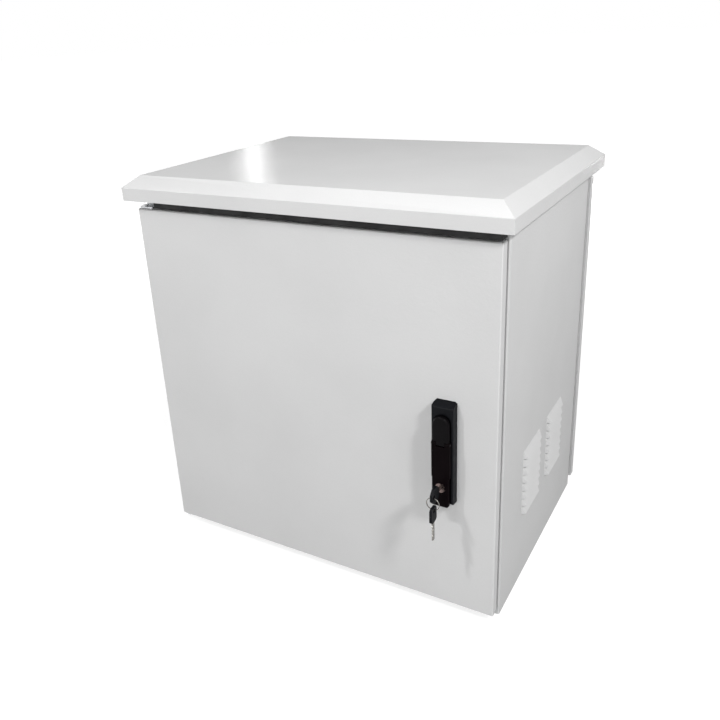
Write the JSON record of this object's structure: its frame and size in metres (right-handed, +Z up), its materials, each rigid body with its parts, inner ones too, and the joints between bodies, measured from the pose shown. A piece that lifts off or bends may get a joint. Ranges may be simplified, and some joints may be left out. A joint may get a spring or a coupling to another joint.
{
  "type": "outdoor rack cabinet",
  "caption": "Outdoor rack cabinet: grey sheet-steel body with louvred sides, bevelled roof hood, hinged door with lockable swing handle, screwed rear panel, mounting rails and cable entry.",
  "frame": {"origin": "centre of the body's footprint, on its underside", "axes": "+Z up, -Y out of the door, +X to the right seen from the front"},
  "size_m": [0.628, 0.5035, 0.632],
  "materials": {
    "grey_paint": "light grey satin powder coat",
    "zinc_steel": "zinc plated",
    "black_rubber": "matt black foam or rubber",
    "black_plastic": "black, fine moulded grain",
    "lock_chrome": "bright plated",
    "key_nickel": "nickel plated"
  },
  "bodies": {
    "cabinet": {"left_side_panel": "grey_paint", "right_side_panel": "grey_paint", "top_panel": "grey_paint", "bottom_panel": "grey_paint", "roof_hood": "grey_paint", "roof_spacers": "zinc_steel", "roof_studs": "zinc_steel", "roof_nuts": "zinc_steel", "rear_panel": "grey_paint", "rear_seal": "black_rubber", "rear_panel_sleeves": "zinc_steel", "rear_panel_screws": "zinc_steel", "rain_strip": "black_rubber", "upper_hinge_bracket": "zinc_steel", "lower_hinge_bracket": "zinc_steel", "hinge_pins": "zinc_steel", "hinge_screws": "zinc_steel", "rail_bolts": "zinc_steel", "gland_plate": "grey_paint", "gland_screws": "zinc_steel", "cable_grommet": "black_rubber", "earth_stud": "zinc_steel", "earth_nut": "zinc_steel", "left_rail": "zinc_steel", "right_rail": "zinc_steel", "lower_left_brace": "zinc_steel", "lower_right_brace": "zinc_steel", "upper_left_brace": "zinc_steel", "upper_right_brace": "zinc_steel"},
    "door": {"door_panel": "grey_paint", "door_seal": "black_rubber", "hinge_blocks": "zinc_steel", "handle_base": "black_plastic", "handle_screws": "zinc_steel"},
    "handle_rotor": {"handle_hub": "black_plastic", "latch_cam": "zinc_steel", "cam_bolt": "zinc_steel"},
    "lever": {"handle_lever": "black_plastic", "lever_pin": "zinc_steel"},
    "key": {"lock_plug": "lock_chrome", "key_bow": "black_plastic", "key_blade": "key_nickel"},
    "ring_and_spare_key": {"key_ring": "lock_chrome", "spare_key_bow": "black_plastic", "spare_key_blade": "key_nickel"}
  },
  "joints": [
    {"name": "door_swing", "type": "hinge", "parent": "cabinet", "child": "door", "pos_m": [-0.288, -0.2095, 0.297], "axis": [0, 0, -1], "range_deg": [0, 110]},
    {"name": "handle_turn", "type": "hinge", "parent": "door", "child": "handle_rotor", "pos_m": [0.2235, -0.233, 0.327], "axis": [0, 1, 0], "range_deg": [0, 90]},
    {"name": "lever_lift", "type": "hinge", "parent": "handle_rotor", "child": "lever", "pos_m": [0.2235, -0.23665, 0.2975], "axis": [-1, 0, 0], "range_deg": [0, 45]},
    {"name": "key_turn", "type": "hinge", "parent": "lever", "child": "key", "pos_m": [0.2235, -0.24, 0.229], "axis": [0, 1, 0], "range_deg": [0, 90]},
    {"name": "key_ring_swing", "type": "hinge", "parent": "key", "child": "ring_and_spare_key", "pos_m": [0.2235, -0.265, 0.2274], "axis": [1, 0, 0], "range_deg": [-60, 10]}
  ]
}
